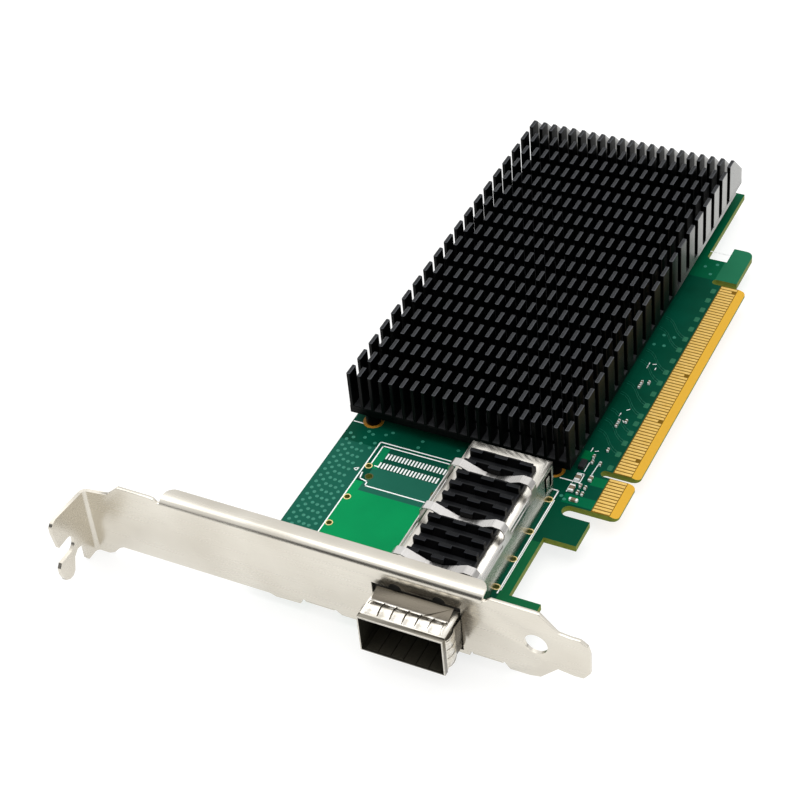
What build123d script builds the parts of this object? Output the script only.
from build123d import *
import os

# Network interface card, in millimetres.
# X runs along the card from the outer face of its bracket, Y is the height above the edge
# connector's outer edge, Z is the height above the component side of the board.

# Board
board_thickness = 1.57
card_height = 68.9
card_length = 167.65
board_front_x = 2.0
shoulder_y = 12.75
front_tab_end_x = 16.3
front_tab_y = 5.5
lower_tab_start_x = 34.65
lower_tab_end_x = 42.5
lower_tab_y = 5.2
front_slot_y = 12.4
key_x = 57.9
key_width = 1.9
key_depth = 8.8
tongue_length_before_key = 12.15
tongue_length_after_key = 72.15
far_slot_width = 1.85
far_slot_depth = 8.95
hook_length = 13.2
hook_bottom_y = 3.05
hook_top_y = 8.2
hook_mouth_x = 139.3
far_shoulder_y = 13.4
tongue_corner = 1.2
bevel_length = 1.9
bevel_depth = 0.5

# Edge contacts
contact_pitch = 1.0
contact_width = 0.7
contact_start_y = 2.05
contact_end_y = 6.1
short_contact_start_y = 3.1
contact_thickness = 0.05
contacts_before_key = 11
contacts_after_key = 71
first_contact_from_key = 1.5
short_contacts_component_side = (17, 31, 48, 81)
short_contacts_print_side = (1,)

# Bracket
sheet = 0.86
bracket_top_z = 16.17
bracket_bottom_z = -2.62
bracket_end_y = -12.4
bracket_tab_y = 107.56
lip_depth = 4.6
lip_start_y = 10.9
lip_end_y = 86.9
lip_bend = 1.0
tongue_hole_y = -0.6
tongue_hole_z = 7.0
tongue_hole_radius = 2.6
tab_bend = 1.0
screw_slot_width = 4.42
screw_slot_z = 3.46
screw_slot_end_x = -6.6
tab_depth = 13.1
foot_width = 6.6
foot_length = 13.0
foot_screw_x = 8.8
foot_bend = 0.84
foot_top_z = -2.1
foot_centres_y = (49.9, 10.6)
foot_hole_radius = 1.6
foot_screw_radius = 1.45
foot_screw_end_z = -0.3
foot_screw_head_radius = 2.7
foot_screw_head_height = 1.5
nut_radius = 2.1
nut_flange_radius = 2.9
nut_bore_radius = 1.5

# Port cage
port_y = 26.0
port_pitch = 22.65
cage_sheet = 0.2
cage_width = 19.2
cage_top_z = 8.6
cage_end_x = 49.1
nose_x = -8.1
nose_bottom_z = -1.1
nose_length = 9.4
cage_window_start_x = 9.0
cage_window_end_x = 46.2
cage_window_width = 12.9
side_window_start_x = 44.3
side_window_end_x = 48.2
side_window_low_z = 2.6
side_window_high_z = 7.4
side_flap_inset = 1.2
side_flap_high_z = 6.2
pin_width = 0.6
pin_length = 2.0
hole_offset_y = 9.83
pin_hole_radius = 0.65
right_holes_x = (45.9, 35.2, 26.3, 17.5)
left_holes_x = (41.1, 30.4, 21.6, 12.8)
cutout_gap = 0.5
peg_x = 38.0
peg_offset_y = 8.2
peg_radius = 0.8
peg_play = 0.05
pad_rows_x = (45.4, 42.2)
pad_length = 1.8
pad_width = 0.4

# Collar of spring fingers round the nose
finger_count = 6
side_finger_count = 3
collar_corner = 0.8
finger_gap = 0.35
collar_sheet = 0.15
rim_length = 1.3
bulge_height = 0.95
finger_end = 4.9
flange_height = 1.75
flange_end = 7.95
side_bulge_height = 0.62
flange_play = 0.05

# Connector inside the cage
connector_start_x = 31.0
connector_end_x = 46.0
connector_width = 16.2
connector_height = 7.6
card_slot_width = 14.6
card_slot_height = 1.6
card_slot_depth = 6.0
card_slot_z = 4.3
contact_recess = 1.4
signal_pitch = 0.8
signal_count = 19
signal_width = 0.3

# Riding heatsink and its spring clip
ride_base_top_z = 9.9
ride_width = 14.8
ride_fin_top_z = 11.7
ride_fin_thickness = 1.1
ride_fin_pitch = 3.6
ride_fin_count = 11
ride_last_fin_x = 44.0
ride_base_overhang = 1.2
ride_tooth_width = 2.9
ride_scoop_depth = 0.75
ride_scoop_foot = 0.25
ride_pedestal_drop = 0.35
ride_pedestal_gap = 1.3
ride_clearance = 0.3
clip_sheet = 0.25
clip_band_width = 2.3
clip_bands_after_fin = (9, 5, 1)
clip_side_gap = 0.15
clip_rail_bottom_z = 7.4
clip_rail_top_z = 9.8
clip_shoulder_z = 10.9
clip_crest_z = 12.4
clip_bend = 0.5
clip_slot_from_band = 2.2
clip_slot_bottom_z = 8.35
clip_slot_top_z = 8.95

# Main heatsink
heatsink_clear_y = 14.0
fin_pitch = 2.7
fin_thickness = 0.75
heatsink_front_x = 53.15
heatsink_from_card_end = 0.55
overhang_length = 4.2
heatsink_base_z = 3.1
overhang_z = 3.9
slot_floor_z = 5.2
cut_floor_z = 4.4
fin_top_z = 14.9
first_cut_x = 56.5
row_pitch = 5.84
cut_width = 2.1
nose_chamfer_x = 6.1
nose_chamfer_z = 6.4
boss_radius = 1.75
boss_inset = 1.95
boss_from_edge_y = 4.7
screw_radius = 0.98
screw_play = 0.02
boss_bore_end_z = 4.0
screw_end_gap = 0.4
screw_head_radius = 2.0
screw_head_height = 1.2
screw_hole_radius = 1.4
washer_radius = 2.2
washer_bore_radius = 1.1
washer_thickness = 0.4

# Controller and power parts under the heatsink
chip_x = 104.0
chip_y = 41.5
substrate_size = 33.0
substrate_height = 1.5
lid_size = 22.0
lid_height = 1.0
inductor_size = 6.6
inductor_height = 2.7
inductor_corner = 0.8
inductors_from_end = 30.9
power_pitch_x = 12.5
power_pitch_y = 13.0
power_below_chip = 15.5
power_columns = 2
power_rows = 3
stage_from_inductor = 6.3
stage_size_x = 4.0
stage_size_y = 5.0
stage_height = 0.8
bulk_from_chip = 20.5
bulk_below_chip = 21.5
bulk_pitch = 6.0
bulk_count = 8
bulk_size_x = 2.0
bulk_size_y = 3.5
bulk_height = 1.9

# Small parts in front of the contacts: distance from the front slot in X, Y, and size in X and Y
ceramic_places = (
    (8.65, 12.85, 2.0, 1.2),
    (5.05, 12.9, 2.0, 1.2),
    (1.7, 11.1, 0.8, 2.0),
    (6.35, 11.35, 1.0, 0.5),
    (4.2, 11.15, 1.0, 0.5),
    (4.1, 10.0, 1.0, 0.5),
    (6.15, 10.1, 1.0, 0.5),
    (9.3, 10.1, 1.6, 0.8),
    (14.45, 11.8, 1.0, 0.5),
    (16.2, 12.1, 1.0, 0.5),
    (14.45, 9.9, 1.0, 0.5),
    (19.35, 10.0, 1.0, 0.5),
)
ceramic_height = 0.6
ceramic_groups_from_slot = (29.2, 43.6)
diode_from_slot = 12.75
diode_y = 13.4
diode_size_x = 2.6
diode_size_y = 1.3
diode_height = 1.0

# Small parts on the print side
lane_count = 16
lane_pitch = 4.4
lane_gap = 1.1
first_lane_from_key = 3.6
coupling_y = 10.4
coupling_size_x = 0.5
coupling_size_y = 1.0
coupling_height = 0.5
decoupling_pitch = 4.0
decoupling_rows = 5
decoupling_size_x = 1.6
decoupling_size_y = 0.8
flash_from_chip = 24.0
flash_below_chip = 14.5
flash_size = 5.2
flash_height = 1.6
oscillator_from_chip = 23.0
oscillator_above_chip = 10.5
oscillator_size_x = 3.2
oscillator_size_y = 2.5
oscillator_height = 0.9

front_slot_end_x = key_x - tongue_length_before_key
lip_outer = lip_bend + sheet
heatsink_side_y = card_height
fin_count = 1 + int((heatsink_side_y - fin_thickness - heatsink_clear_y) / fin_pitch)
heatsink_right_y = heatsink_side_y - fin_thickness - (fin_count - 1) * fin_pitch
heatsink_end_x = card_length - heatsink_from_card_end
heatsink_base_end_x = heatsink_end_x - overhang_length
cut_count = int((heatsink_end_x - cut_width - first_cut_x) / row_pitch)
tongue_end_x = key_x + tongue_length_after_key
hook_start_x = tongue_end_x + far_slot_width
cage_left_y = port_y + cage_width / 2
cage_right_y = port_y - cage_width / 2
board_bottom_z = -board_thickness
side_flange_height = cutout_gap - collar_sheet - flange_play
ride_start_x = ride_last_fin_x - (ride_fin_count - 1) * ride_fin_pitch - ride_fin_thickness - ride_scoop_foot
ride_end_x = ride_last_fin_x + ride_base_overhang
ride_scoop_width = (ride_width - 3 * ride_tooth_width) / 2
first_gap_x = ride_last_fin_x - (ride_fin_pitch + ride_fin_thickness) / 2
clip_bands_x = tuple(first_gap_x - index * ride_fin_pitch for index in clip_bands_after_fin)


def block(x0, x1, y0, y1, z0, z1):
    """A box between two corners."""
    middle = Pos((x0 + x1) / 2, (y0 + y1) / 2, (z0 + z1) / 2)
    return middle * Box(x1 - x0, y1 - y0, z1 - z0)


def square(x, y, size_x, size_y, z0, z1):
    """A package standing on z0, centred on x and y."""
    return block(x - size_x / 2, x + size_x / 2, y - size_y / 2, y + size_y / 2, z0, z1)


def rod(x, y, z0, z1, radius):
    """A round bar that stands along Z."""
    return Pos(x, y, (z0 + z1) / 2) * Cylinder(radius, z1 - z0)


def plate_z(points, z0, z1):
    """An outline in X and Y, as thick as z0 to z1."""
    outline = make_face(Polyline(*points, close=True))
    return Pos(0, 0, z0) * extrude(outline, z1 - z0)


def plate_x(points, x0, x1):
    """An outline in Y and Z, as thick as x0 to x1."""
    outline = make_face(Polyline(*points, close=True))
    return Pos(x0, 0, 0) * extrude(Plane.YZ * outline, x1 - x0)


def plate_y(points, y0, y1):
    """An outline in X and Z, as thick as y0 to y1."""
    outline = make_face(Polyline(*points, close=True))
    return Pos(0, y1, 0) * extrude(Plane.XZ * outline, y1 - y0)


def slot_down(x0, x1, top_y, bottom_y):
    """A slot in the board, open towards bottom_y, with a round end at top_y."""
    radius = (x1 - x0) / 2
    straight = block(x0, x1, bottom_y, top_y - radius, -board_thickness - 1, 1)
    return straight + rod((x0 + x1) / 2, top_y - radius, -board_thickness - 1, 1, radius)


def heatsink_corners():
    """Where the main heatsink's four screws stand."""
    near = heatsink_front_x + boss_inset
    far = heatsink_base_end_x - boss_inset
    high = heatsink_side_y - boss_from_edge_y
    low = heatsink_right_y + boss_from_edge_y
    return [(near, high), (far, high), (near, low), (far, low)]


def port_holes(centre_y):
    """Press-fit holes of one port."""
    right = [(x, centre_y - hole_offset_y) for x in right_holes_x]
    left = [(x, centre_y + hole_offset_y) for x in left_holes_x]
    return right + left


def peg_holes(centre_y):
    """Two locating holes under a port connector."""
    return [(peg_x, centre_y + peg_offset_y), (peg_x, centre_y - peg_offset_y)]


def make_board():
    low = -board_thickness
    outline = [
        (board_front_x, card_height),
        (card_length, card_height),
        (card_length, far_shoulder_y),
        (hook_mouth_x + 0.8, far_shoulder_y),
        (hook_mouth_x, far_shoulder_y - 0.8),
        (hook_mouth_x, hook_top_y),
        (hook_start_x + hook_length, hook_top_y),
        (hook_start_x + hook_length, hook_bottom_y),
        (hook_start_x, hook_bottom_y),
        (hook_start_x, hook_top_y),
        (tongue_end_x, hook_top_y),
        (tongue_end_x, 0),
        (front_slot_end_x, 0),
        (front_slot_end_x, lower_tab_y),
        (lower_tab_start_x, lower_tab_y),
        (lower_tab_start_x, shoulder_y),
        (front_tab_end_x, shoulder_y),
        (front_tab_end_x, front_tab_y),
        (board_front_x, front_tab_y),
    ]
    board = plate_z(outline, low, 0)
    board -= slot_down(lower_tab_end_x, front_slot_end_x, front_slot_y, -1)
    board -= slot_down(key_x - key_width / 2, key_x + key_width / 2, key_depth, -1)
    board -= slot_down(tongue_end_x, hook_start_x, far_slot_depth, -1)
    tongue_corners = [edge for edge in board.edges().filter_by(Axis.Z) if abs(edge.center().Y) < 0.01]
    board = fillet(tongue_corners, tongue_corner)
    hook_end = hook_start_x + hook_length
    hook_corner = [
        edge
        for edge in board.edges().filter_by(Axis.Z)
        if abs(edge.center().Y - hook_bottom_y) < 0.01 and abs(edge.center().X - hook_end) < 0.01
    ]
    board = fillet(hook_corner, 2.0)
    for side in (0, 1):
        surface = -board_thickness * side
        inward = bevel_depth * (2 * side - 1)
        wedge = [(bevel_length, surface), (-1, surface), (-1, surface + inward), (0, surface + inward)]
        board -= plate_x(wedge, front_slot_end_x - 1, tongue_end_x + 1)
    for x, y in port_holes(port_y) + port_holes(port_y + port_pitch):
        board -= rod(x, y, low - 1, 1, pin_hole_radius)
    for x, y in peg_holes(port_y) + peg_holes(port_y + port_pitch):
        board -= rod(x, y, low - 1, 1, peg_radius)
    for x, y in heatsink_corners():
        board -= rod(x, y, low - 1, 1, screw_hole_radius)
    for y in foot_centres_y:
        board -= rod(foot_screw_x, y, low - 1, 1, nut_radius)
    return board


def contact_positions():
    """Number and X of each edge contact."""
    before = [
        (number, key_x - first_contact_from_key - (contacts_before_key - number) * contact_pitch)
        for number in range(1, contacts_before_key + 1)
    ]
    after = [
        (contacts_before_key + 1 + step, key_x + first_contact_from_key + step * contact_pitch)
        for step in range(contacts_after_key)
    ]
    return before + after


def make_contacts(z0, z1, short_ones):
    contacts = []
    for number, x in contact_positions():
        start = short_contact_start_y if number in short_ones else contact_start_y
        contacts.append(block(x - contact_width / 2, x + contact_width / 2, start, contact_end_y, z0, z1))
    return contacts


def make_port_pads():
    """Solder pads of the second port, which has no connector: two rows, half a pitch apart."""
    centre = port_y + port_pitch
    pads = []
    for index in range(signal_count):
        y = centre + (index - (signal_count - 1) / 2) * signal_pitch
        for row, x in enumerate(pad_rows_x):
            middle = y + row * signal_pitch / 2
            pads.append(square(x, middle, pad_length, pad_width, 0, contact_thickness))
    return pads


def bracket_face():
    outline = [
        (105.7, 12.3),
        (100.6, 13.1),
        (97.4, 16.17),
        (89.3, 16.17),
        (88.3, 15.9),
        (lip_end_y + 0.8, 15.1),
        (lip_end_y, 15.1),
        (lip_end_y, bracket_top_z - lip_outer),
        (lip_start_y, bracket_top_z - lip_outer),
        (lip_start_y, 15.1),
        (lip_start_y - 0.6, 15.1),
        (9.1, 16.17),
        (-0.64, 16.17),
        (-1.7, 16.0),
        (-5.5, 12.15),
        (-8.2, 11.8),
        (-10.35, 11.8),
        (-11.9, 10.7),
        (bracket_end_y, 8.8),
        (bracket_end_y, 3.1),
        (-10.9, 1.0),
        (-9.0, 0.9),
        (-5.3, 1.45),
        (-1.4, -2.5),
        (1.0, -3.0),
        (5.5, -3.04),
        (6.7, -1.4),
        (7.3, -1.4),
        (7.3, foot_top_z + 0.5),
        (13.9, foot_top_z + 0.5),
        (13.9, -1.4),
        (14.5, -1.4),
        (14.5, bracket_bottom_z),
        (44.4, bracket_bottom_z),
        (46.0, -1.4),
        (46.6, -1.4),
        (46.6, foot_top_z + 0.5),
        (53.2, foot_top_z + 0.5),
        (53.2, -1.4),
        (53.8, -1.4),
        (54.4, -2.96),
        (60.5, -3.2),
        (61.9, bracket_bottom_z),
        (99.1, bracket_bottom_z),
        (100.25, -3.2),
        (101.95, -5.1),
        (103.4, -5.84),
        (105.7, -5.84),
    ]
    return plate_x(outline, 0, sheet)


def lip():
    """The stiffening lip folded back along the bracket's top edge."""
    centre_z = bracket_top_z - lip_outer
    fold = block(0, lip_outer, lip_start_y, lip_end_y, centre_z, bracket_top_z)
    shape = Pos(lip_outer, 0, centre_z) * Rot(90, 0, 0) * Cylinder(lip_outer, 300)
    hollow = Pos(lip_outer, 0, centre_z) * Rot(90, 0, 0) * Cylinder(lip_bend, 300)
    fold = (fold & shape) - hollow
    flat = block(lip_outer, lip_depth, lip_start_y, lip_end_y, bracket_top_z - sheet, bracket_top_z)
    corners = [edge for edge in flat.edges().filter_by(Axis.Z) if edge.center().X > lip_depth - 0.1]
    return fold + fillet(corners, 2.4)


def screw_tab():
    """The bent end that the chassis screw holds down."""
    inner_y = bracket_tab_y - sheet
    outline = [
        (-tab_bend, 12.3),
        (-10.7, 13.4),
        (-12.0, 13.0),
        (-12.7, 12.2),
        (-12.7, 10.4),
        (-11.9, screw_slot_z + screw_slot_width / 2),
        (screw_slot_end_x, screw_slot_z + screw_slot_width / 2),
        (screw_slot_end_x, screw_slot_z - screw_slot_width / 2),
        (-12.3, screw_slot_z - screw_slot_width / 2),
        (-tab_depth, 0.2),
        (-tab_depth, -1.6),
        (-12.4, -3.9),
        (-11.0, -4.9),
        (-9.6, -5.0),
        (-8.7, -4.3),
        (-7.7, -1.0),
        (-6.3, 0.1),
        (-4.6, -0.2),
        (-4.0, -1.2),
        (-4.0, -4.9),
        (-3.4, -5.84),
        (-tab_bend, -5.84),
    ]
    tab = plate_y(outline, inner_y, bracket_tab_y)
    slot_ends = [
        edge
        for edge in tab.edges().filter_by(Axis.Y)
        if abs(edge.center().X - screw_slot_end_x) < 0.01
    ]
    tab = fillet(slot_ends, screw_slot_width / 2 - 0.05)
    centre_y = inner_y - tab_bend
    bend = Cylinder(tab_bend + sheet, 12.3 + 5.84) - Cylinder(tab_bend, 40)
    bend = Pos(-tab_bend, centre_y, (12.3 - 5.84) / 2) * bend
    quarter = block(-tab_bend, sheet, centre_y, bracket_tab_y, -5.84, 12.3)
    return tab + (bend & quarter)


def foot(centre_y):
    """A foot bent back under the board, with its screw hole."""
    start = centre_y - foot_width / 2
    end = centre_y + foot_width / 2
    outer = foot_bend + sheet
    centre_z = foot_top_z + foot_bend
    corner = block(0, outer, start, end, centre_z - outer, centre_z)
    round_outside = Pos(outer, centre_y, centre_z) * Rot(90, 0, 0) * Cylinder(outer, 100)
    round_inside = Pos(outer, centre_y, centre_z) * Rot(90, 0, 0) * Cylinder(foot_bend, 100)
    flat = block(outer, foot_length, start, end, foot_top_z - sheet, foot_top_z)
    corners = [edge for edge in flat.edges().filter_by(Axis.Z) if edge.center().X > foot_length - 0.1]
    flat = fillet(corners, 1.5)
    flat -= rod(foot_screw_x, centre_y, foot_top_z - 2, foot_top_z + 1, foot_hole_radius)
    riser = block(0, sheet, start, end, centre_z, -1.2)
    return ((corner & round_outside) - round_inside) + flat + riser


def cutout():
    """The port opening in the bracket, with two reliefs in its upper edge."""
    left = cage_left_y + cutout_gap
    right = cage_right_y - cutout_gap
    low = nose_bottom_z - cutout_gap
    high = cage_top_z + flange_height + 0.5
    opening = block(-1, sheet + 1, right, left, low, high)
    for y in (port_y + 4.65, port_y - 5.3):
        relief = Pos(0, y, high) * Rot(0, 90, 0) * Cylinder(1.45, 10)
        opening += relief
    return opening


def make_bracket():
    bracket = bracket_face() + lip() + screw_tab()
    for y in foot_centres_y:
        bracket += foot(y)
    bracket -= cutout()
    hole = Pos(0, tongue_hole_y, tongue_hole_z) * Rot(0, 90, 0) * Cylinder(tongue_hole_radius, 10)
    return bracket - hole


def make_bracket_screws():
    """Two screws from the print side, through the feet into the board's nuts."""
    low = foot_top_z - sheet
    screws = []
    for y in foot_centres_y:
        head = rod(foot_screw_x, y, low - foot_screw_head_height, low, foot_screw_head_radius)
        screws.append(head + rod(foot_screw_x, y, low, foot_screw_end_z, foot_screw_radius))
    return screws


def make_board_nuts():
    """Press-in nuts in the board, which hold the bracket's feet off it."""
    nuts = []
    for y in foot_centres_y:
        nut = rod(foot_screw_x, y, board_bottom_z, 0, nut_radius)
        nut += rod(foot_screw_x, y, foot_top_z, board_bottom_z, nut_flange_radius)
        nuts.append(nut - rod(foot_screw_x, y, foot_top_z - 1, 1, nut_bore_radius))
    return nuts


def cage_shell():
    """The folded sheet on the board, and the nose in front of it that hangs a little lower."""
    left = cage_left_y
    right = cage_right_y
    wall = cage_sheet
    nose_end = nose_x + nose_length
    shell = block(nose_end, cage_end_x, right, left, 0, cage_top_z)
    shell -= block(nose_end - 1, cage_end_x - wall, right + wall, left - wall, -1, cage_top_z - wall)
    nose = block(nose_x, nose_end, right, left, nose_bottom_z, cage_top_z)
    low = nose_bottom_z + wall
    nose -= block(nose_x - 1, nose_end + 1, right + wall, left - wall, low, cage_top_z - wall)
    return shell + nose


def make_cage():
    """The cage: its shell with a window in the roof, a flap in each side and pins in the board."""
    reach = cage_window_width / 2
    shell = cage_shell()
    shell -= block(
        cage_window_start_x, cage_window_end_x, port_y - reach, port_y + reach,
        cage_top_z - 1, cage_top_z + 1,
    )
    shell -= block(
        side_window_start_x, side_window_end_x, cage_right_y - 1, cage_left_y + 1,
        side_window_low_z, side_window_high_z,
    )
    for holes, y in ((right_holes_x, cage_right_y), (left_holes_x, cage_left_y - cage_sheet)):
        shell += block(
            side_window_start_x + side_flap_inset, side_window_end_x - side_flap_inset, y, y + cage_sheet,
            side_window_low_z, side_flap_high_z,
        )
        for x in holes:
            shell += block(x - pin_width / 2, x + pin_width / 2, y, y + cage_sheet, -pin_length, 0)
    return shell


def make_cage_base():
    """The cage's floor, laid on the board between its walls."""
    start = nose_x + nose_length
    play = 0.05
    return block(
        start + 0.7, connector_start_x - 0.3,
        cage_right_y + cage_sheet + play, cage_left_y - cage_sheet - play,
        0, cage_sheet,
    )


def collar_side(length, count, line):
    """One side of the collar lying on Z = 0, from X = 0: rim, parted fingers and flange."""
    upper = [(x, z + collar_sheet) for x, z in reversed(line)]
    side = plate_y(line + upper, -length / 2, length / 2)
    pitch = (length - 2 * finger_gap) / count
    for index in range(count + 1):
        y = (index - count / 2) * pitch
        side -= block(rim_length + 0.2, finger_end + 0.2, y - finger_gap / 2, y + finger_gap / 2, -1, 3)
    return side


def roof_side():
    """The side over the port: high fingers and a flange that rises to the cut-out's edge."""
    line = [
        (0, 0), (rim_length, 0), (2.3, bulge_height * 0.75), (3.4, bulge_height), (4.3, bulge_height * 0.85),
        (finger_end, 0.35), (flange_end, flange_height),
    ]
    return collar_side(cage_width - 2 * collar_corner, finger_count, line)


def low_side(width, count):
    """A flatter side, whose flange fills the gap between the cage and the cut-out."""
    line = [
        (0, 0), (rim_length, 0), (2.3, side_bulge_height * 0.8), (3.4, side_bulge_height),
        (4.3, side_bulge_height * 0.8), (finger_end + 0.6, 0.12), (flange_end, side_flange_height),
    ]
    return collar_side(width - 2 * collar_corner, count, line)


def make_collar():
    """Spring fingers on the nose's four sides, one strip each, joined by the rim."""
    roof = Pos(nose_x, port_y, cage_top_z) * roof_side()
    floor_strip = Pos(nose_x, port_y, nose_bottom_z) * Rot(180, 0, 0) * low_side(cage_width, finger_count)
    height = cage_top_z - nose_bottom_z
    middle = (cage_top_z + nose_bottom_z) / 2
    left = Pos(nose_x, cage_left_y, middle) * Rot(-90, 0, 0) * low_side(height, side_finger_count)
    right = Pos(nose_x, cage_right_y, middle) * Rot(90, 0, 0) * low_side(height, side_finger_count)
    outside = block(
        nose_x, nose_x + rim_length, cage_right_y - collar_sheet, cage_left_y + collar_sheet,
        nose_bottom_z - collar_sheet, cage_top_z + collar_sheet,
    )
    inside = block(nose_x - 1, nose_x + 40, cage_right_y, cage_left_y, nose_bottom_z, cage_top_z)
    return outside - inside + roof + floor_strip + left + right


def make_connector():
    """The card-edge connector on the board inside the cage."""
    half = connector_width / 2
    slot = card_slot_width / 2
    start = connector_start_x
    top = connector_height
    body = block(start, connector_end_x, port_y - half, port_y + half, 0, top)
    slope = [(start - 1, top + 1), (start - 1, top - 1.6), (start + 2.2, top + 1)]
    body -= plate_y(slope, port_y - half - 1, port_y + half + 1)
    body -= block(
        start - 1, start + card_slot_depth, port_y - slot, port_y + slot,
        card_slot_z - card_slot_height / 2, card_slot_z + card_slot_height / 2,
    )
    body -= block(
        connector_end_x - contact_recess, connector_end_x + 1,
        port_y - half + 0.6, port_y + half - 0.6, -1, 1.6,
    )
    for x, y in peg_holes(port_y):
        body += rod(x, y, board_bottom_z + 0.2, 0, peg_radius - peg_play)
    return body


def make_signal_contacts():
    """Tails of the connector's contacts, on their pads behind it."""
    end = connector_end_x
    contacts = []
    for index in range(signal_count):
        y = port_y + (index - (signal_count - 1) / 2) * signal_pitch
        outline = [
            (end - contact_recess, 1.2), (end - 0.9, 1.2), (end - 0.6, 0.15), (end + 0.6, 0.15),
            (end + 0.6, 0), (end - 0.75, 0), (end - 1.05, 1.05), (end - contact_recess, 1.05),
        ]
        contacts.append(plate_y(outline, y - signal_width / 2, y + signal_width / 2))
    return contacts


def ride_fin():
    """The far cross fin: three full teeth, and between them two strips that slope back."""
    half = ride_width / 2
    front = ride_last_fin_x - ride_fin_thickness
    fin = block(front, ride_last_fin_x, port_y - half, port_y + half, ride_base_top_z, ride_fin_top_z)
    foot = ride_base_top_z + ride_scoop_foot
    above = ride_fin_top_z + 1
    slope = [
        (front - 1, foot), (front, foot), (front + ride_scoop_depth, ride_fin_top_z),
        (front + ride_scoop_depth, above), (front - 1, above),
    ]
    reach = ride_scoop_width / 2
    for side in (-1, 1):
        middle = port_y + side * (ride_tooth_width + ride_scoop_width) / 2
        fin -= plate_y(slope, middle - reach, middle + reach)
    return fin


def make_port_heatsink():
    """The heatsink that rides on the cage and dips through its window."""
    half = ride_width / 2
    heatsink = block(ride_start_x, ride_end_x, port_y - half, port_y + half, cage_top_z, ride_base_top_z)
    dip = cage_window_width / 2 - ride_clearance
    heatsink += block(
        cage_window_start_x + ride_pedestal_gap, cage_window_end_x - ride_pedestal_gap,
        port_y - dip, port_y + dip, cage_top_z - cage_sheet - ride_pedestal_drop, cage_top_z,
    )
    fin = ride_fin()
    for index in range(ride_fin_count):
        heatsink += Pos(-index * ride_fin_pitch, 0, 0) * fin
    return heatsink


def clip_band(x):
    """A sprung band: up from one rail, over the heatsink's edge, down to its base and back."""
    side = cage_width / 2 + clip_side_gap + clip_sheet / 2
    rest = ride_base_top_z + clip_sheet / 2
    half = [
        (side, clip_rail_bottom_z), (side, clip_shoulder_z), (side - 0.9, clip_crest_z - 0.3),
        (side - 2.7, clip_crest_z - clip_sheet / 2), (2.4, rest + 0.3), (1.2, rest),
    ]
    points = [(port_y + y, z) for y, z in half] + [(port_y - y, z) for y, z in reversed(half)]
    strip = trace(FilletPolyline(*points, radius=clip_bend), clip_sheet)
    return Pos(x - clip_band_width / 2, 0, 0) * extrude(Plane.YZ * strip, clip_band_width)


def make_clip():
    """Spring clip: two rails beside the cage and three sprung bands across the heatsink."""
    clip = clip_band(clip_bands_x[0]) + clip_band(clip_bands_x[1]) + clip_band(clip_bands_x[2])
    start = clip_bands_x[0] - clip_band_width / 2
    end = clip_bands_x[-1] + clip_band_width / 2
    inner = cage_width / 2 + clip_side_gap
    for side in (-1, 1):
        low, high = sorted((port_y + side * inner, port_y + side * (inner + clip_sheet)))
        rail = block(start, end, low, high, clip_rail_bottom_z, clip_rail_top_z)
        for first, last in zip(clip_bands_x, clip_bands_x[1:]):
            rail -= block(
                first + clip_slot_from_band, last - clip_slot_from_band, low - 1, high + 1,
                clip_slot_bottom_z, clip_slot_top_z,
            )
        clip += rail
    return clip


def make_main_heatsink():
    """Extruded fins, then cut across into rows."""
    points = [(heatsink_side_y, heatsink_base_z)]
    for index in range(fin_count):
        outer = heatsink_side_y - index * fin_pitch
        inner = outer - fin_thickness
        if index:
            points.append((outer, slot_floor_z))
        points.append((outer, fin_top_z))
        points.append((inner, fin_top_z))
        if index < fin_count - 1:
            points.append((inner, slot_floor_z))
    points.append((heatsink_right_y, heatsink_base_z))
    heatsink = plate_x(points, heatsink_front_x, heatsink_end_x)
    low = heatsink_right_y - 1
    high = heatsink_side_y + 1
    top = fin_top_z + 1
    cuts = []
    for index in range(cut_count):
        start = first_cut_x + index * row_pitch
        cuts.append(block(start, start + cut_width, low, high, cut_floor_z, top))
    heatsink -= cuts
    heatsink -= block(heatsink_base_end_x, heatsink_end_x + 1, low, high, heatsink_base_z - 1, overhang_z)
    slope = [
        (heatsink_end_x - nose_chamfer_x, top),
        (heatsink_end_x - nose_chamfer_x, fin_top_z),
        (heatsink_end_x, fin_top_z - nose_chamfer_z),
        (heatsink_end_x + 1, fin_top_z - nose_chamfer_z),
        (heatsink_end_x + 1, top),
    ]
    heatsink -= plate_y(slope, low, high)
    for x, y in heatsink_corners():
        heatsink += rod(x, y, 0, heatsink_base_z, boss_radius)
    for x, y in heatsink_corners():
        heatsink -= rod(x, y, -1, boss_bore_end_z, screw_radius + screw_play)
    return heatsink


def make_heatsink_screws():
    """Four screws from the print side, up into the heatsink's bosses."""
    screws = []
    seat = board_bottom_z - washer_thickness
    for x, y in heatsink_corners():
        head = rod(x, y, seat - screw_head_height, seat, screw_head_radius)
        screws.append(head + rod(x, y, seat, boss_bore_end_z - screw_end_gap, screw_radius))
    return screws


def make_screw_washers():
    washers = []
    for x, y in heatsink_corners():
        washer = rod(x, y, board_bottom_z - washer_thickness, board_bottom_z, washer_radius)
        washers.append(washer - rod(x, y, board_bottom_z - 1, 1, washer_bore_radius))
    return washers


def make_substrate():
    return square(chip_x, chip_y, substrate_size, substrate_size, 0, substrate_height)


def make_lid():
    lid = square(chip_x, chip_y, lid_size, lid_size, substrate_height, substrate_height + lid_height)
    return fillet(lid.edges().filter_by(Axis.Z), 1.0)


def make_thermal_pad():
    return square(chip_x, chip_y, lid_size - 2, lid_size - 2, substrate_height + lid_height, heatsink_base_z)


def power_places():
    """Middles of the power inductors, in rows between the controller and the card's far end."""
    start = heatsink_base_end_x - inductors_from_end
    low = chip_y - power_below_chip
    return [
        (start + column * power_pitch_x, low + row * power_pitch_y)
        for column in range(power_columns)
        for row in range(power_rows)
    ]


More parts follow.
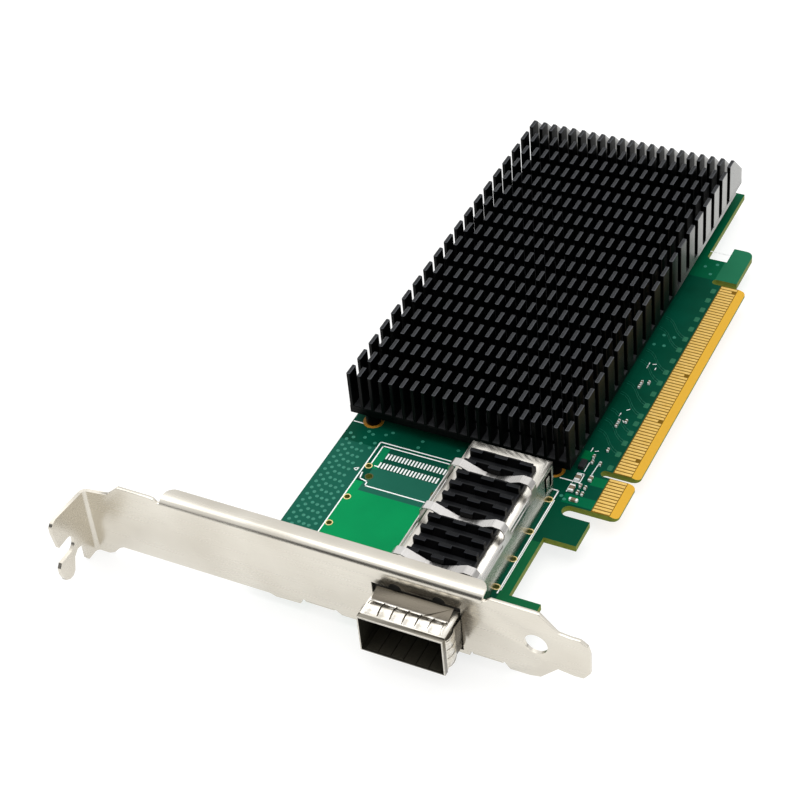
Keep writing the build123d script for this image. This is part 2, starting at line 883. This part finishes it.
def make_inductors():
    inductors = []
    for x, y in power_places():
        core = square(x, y, inductor_size, inductor_size, 0, inductor_height)
        inductors.append(chamfer(core.edges().filter_by(Axis.Z), inductor_corner))
    return inductors


def make_power_stages():
    """One switching stage behind each inductor."""
    return [
        square(x + stage_from_inductor, y, stage_size_x, stage_size_y, 0, stage_height)
        for x, y in power_places()
    ]


def make_bulk_capacitors():
    x = chip_x + bulk_from_chip
    low = chip_y - bulk_below_chip
    return [
        square(x, low + index * bulk_pitch, bulk_size_x, bulk_size_y, 0, bulk_height)
        for index in range(bulk_count)
    ]


def make_corner_capacitors():
    """The ceramic parts that show between the heatsink and the contacts."""
    parts = []
    for from_slot, y, size_x, size_y in ceramic_places:
        parts.append(square(front_slot_end_x + from_slot, y, size_x, size_y, 0, ceramic_height))
    for from_slot in ceramic_groups_from_slot:
        x = front_slot_end_x + from_slot
        for step_x, y in ((0, 11.3), (-1.5, 11.3), (0.5, 9.7)):
            parts.append(square(x + step_x, y, 1.0, 0.5, 0, ceramic_height))
    return parts


def make_corner_diode():
    x = front_slot_end_x + diode_from_slot
    return square(x, diode_y, diode_size_x, diode_size_y, 0, diode_height)


def make_coupling_capacitors():
    """A pair of capacitors for each lane, on the print side above the contacts."""
    low = board_bottom_z - coupling_height
    capacitors = []
    for lane in range(lane_count):
        x = key_x + first_lane_from_key + lane * lane_pitch
        for shift in (0, lane_gap):
            part = square(x + shift, coupling_y, coupling_size_x, coupling_size_y, low, board_bottom_z)
            capacitors.append(part)
    return capacitors


def make_decoupling_capacitors():
    """A grid on the print side, behind the controller."""
    low = board_bottom_z - decoupling_size_y
    middle = (decoupling_rows - 1) / 2
    capacitors = []
    for column in range(decoupling_rows):
        for row in range(decoupling_rows):
            x = chip_x + (column - middle) * decoupling_pitch
            y = chip_y + (row - middle) * decoupling_pitch
            part = square(x, y, decoupling_size_x, decoupling_size_y, low, board_bottom_z)
            capacitors.append(part)
    return capacitors


def make_flash():
    x = chip_x - flash_from_chip
    y = chip_y - flash_below_chip
    return square(x, y, flash_size, flash_size, board_bottom_z - flash_height, board_bottom_z)


def make_oscillator():
    x = chip_x - oscillator_from_chip
    y = chip_y + oscillator_above_chip
    low = board_bottom_z - oscillator_height
    return square(x, y, oscillator_size_x, oscillator_size_y, low, board_bottom_z)


def save(name, solids):
    """Write one node, as one solid or as a group of separate ones."""
    group = solids if isinstance(solids, list) else [solids]
    children = [solid for item in group for solid in item.solids()]
    export_step(Compound(children), "parts/" + name + ".step")
    print(name, len(children), round(sum(child.volume for child in children), 3))


def main():
    os.makedirs("parts", exist_ok=True)
    save("circuit_board", make_board())
    save("edge_contacts_front", make_contacts(0, contact_thickness, short_contacts_component_side))
    back = board_bottom_z - contact_thickness
    save("edge_contacts_back", make_contacts(back, board_bottom_z, short_contacts_print_side))
    save("second_port_pads", make_port_pads())
    save("bracket", make_bracket())
    save("bracket_screws", make_bracket_screws())
    save("bracket_nuts", make_board_nuts())
    save("port_cage", make_cage())
    save("cage_floor", make_cage_base())
    save("spring_finger_collar", make_collar())
    save("port_connector", make_connector())
    save("connector_contacts", make_signal_contacts())
    save("port_heatsink", make_port_heatsink())
    save("heatsink_clip", make_clip())
    save("main_heatsink", make_main_heatsink())
    save("heatsink_screws", make_heatsink_screws())
    save("screw_washers", make_screw_washers())
    save("thermal_pad", make_thermal_pad())
    save("controller_substrate", make_substrate())
    save("controller_lid", make_lid())
    save("power_inductors", make_inductors())
    save("power_stages", make_power_stages())
    save("bulk_capacitors", make_bulk_capacitors())
    save("corner_capacitors", make_corner_capacitors())
    save("corner_diode", make_corner_diode())
    save("coupling_capacitors", make_coupling_capacitors())
    save("decoupling_capacitors", make_decoupling_capacitors())
    save("flash_memory", make_flash())
    save("clock_oscillator", make_oscillator())


main()
